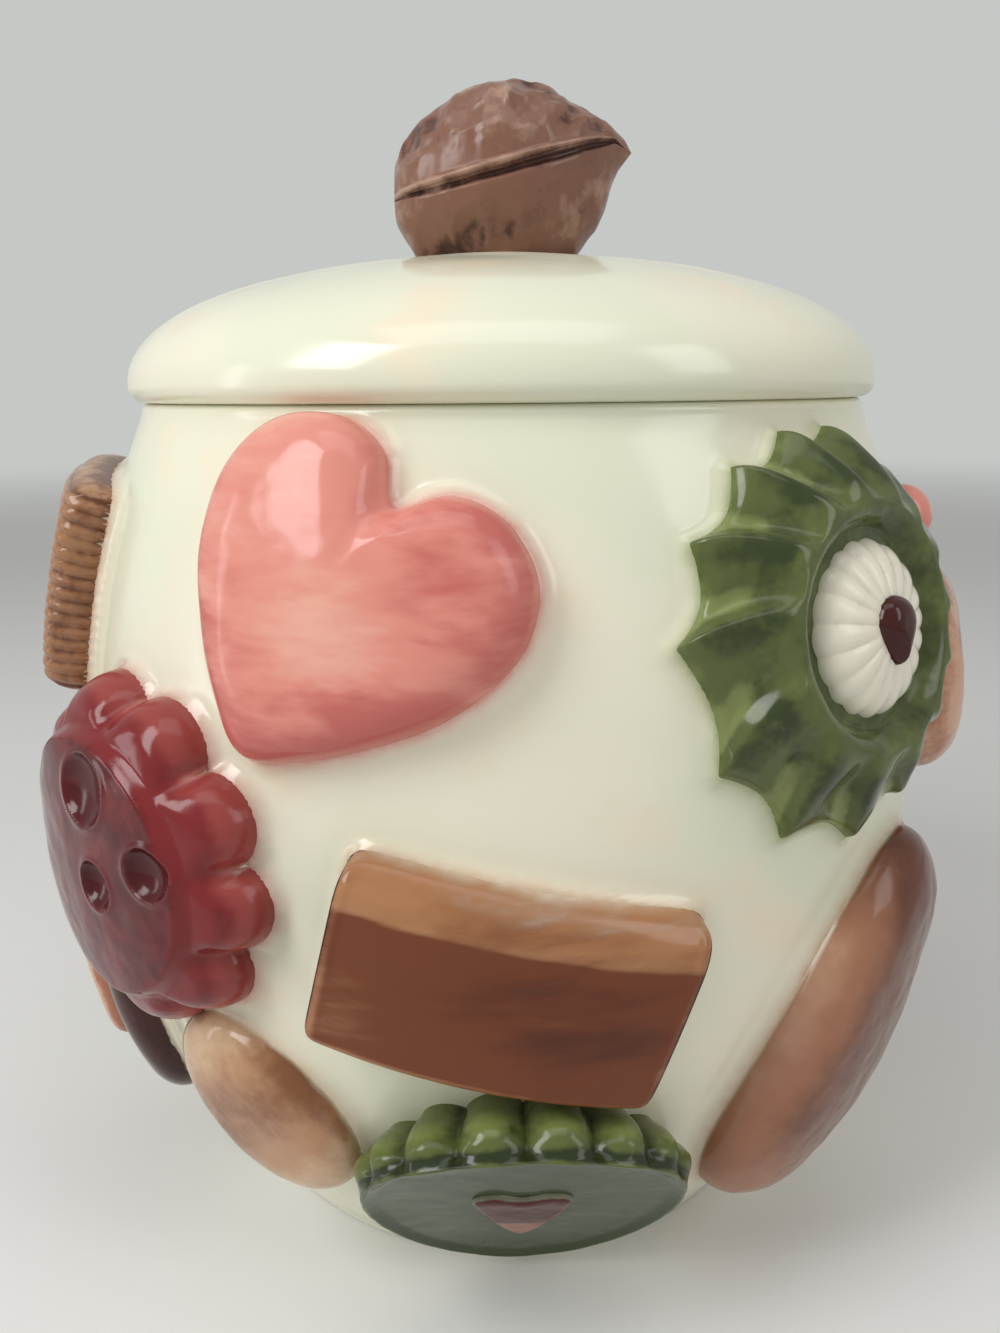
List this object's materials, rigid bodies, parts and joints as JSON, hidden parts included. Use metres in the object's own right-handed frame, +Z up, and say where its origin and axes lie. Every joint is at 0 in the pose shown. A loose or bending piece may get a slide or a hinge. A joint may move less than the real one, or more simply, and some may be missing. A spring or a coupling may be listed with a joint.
{
  "type": "biscuit jar",
  "caption": "Globe-shaped glazed jar with biscuits moulded in relief all round its wall and a loose domed lid lifted by a walnut-shaped knob.",
  "frame": {"origin": "on the jar's axis, in the plane of its foot ring", "axes": "+Z up along the jar's axis, -Y out of the front, which carries the heart, the wafer and the tart, and +X to the right of someone who looks at the front"},
  "size_m": [0.21, 0.2091, 0.2486],
  "materials": {
    "cream_glaze": "gloss",
    "pink_glaze": "gloss",
    "green_glaze": "gloss",
    "nut_brown_glaze": "gloss",
    "wafer_glaze": "gloss",
    "tart_glaze": "gloss",
    "jam_glaze": "gloss",
    "finger_glaze": "gloss",
    "maroon_glaze": "gloss",
    "tan_glaze": "gloss",
    "ridge_glaze": "gloss",
    "chocolate_glaze": "gloss",
    "walnut_glaze": "gloss"
  },
  "bodies": {
    "jar": {"jar_body": "cream_glaze", "heart_biscuit": "pink_glaze", "wreath_biscuit": "green_glaze", "icing_button": "cream_glaze", "almond": "nut_brown_glaze", "wafer_biscuit": "wafer_glaze", "jam_tart_case": "tart_glaze", "jam_tart_cherry": "jam_glaze", "finger_biscuit": "finger_glaze", "flower_biscuit": "maroon_glaze", "oval_biscuit": "tan_glaze", "ridged_biscuit": "ridge_glaze", "chocolate_biscuit": "chocolate_glaze", "nut_crescent": "tan_glaze", "round_biscuit": "tan_glaze", "sugar_drop": "pink_glaze", "back_heart_biscuit": "pink_glaze", "back_wafer_biscuit": "wafer_glaze", "back_ring_biscuit": "finger_glaze", "back_icing_button": "cream_glaze", "back_flower_biscuit": "maroon_glaze", "back_oval_biscuit": "tan_glaze"},
    "lid": {"lid": "cream_glaze", "walnut_upper": "walnut_glaze", "walnut_lower": "walnut_glaze"}
  },
  "joints": [
    {"name": "lid_lift", "type": "slide", "parent": "jar", "child": "lid", "axis": [0, 0, 1], "range_m": [0, 0.08]}
  ]
}
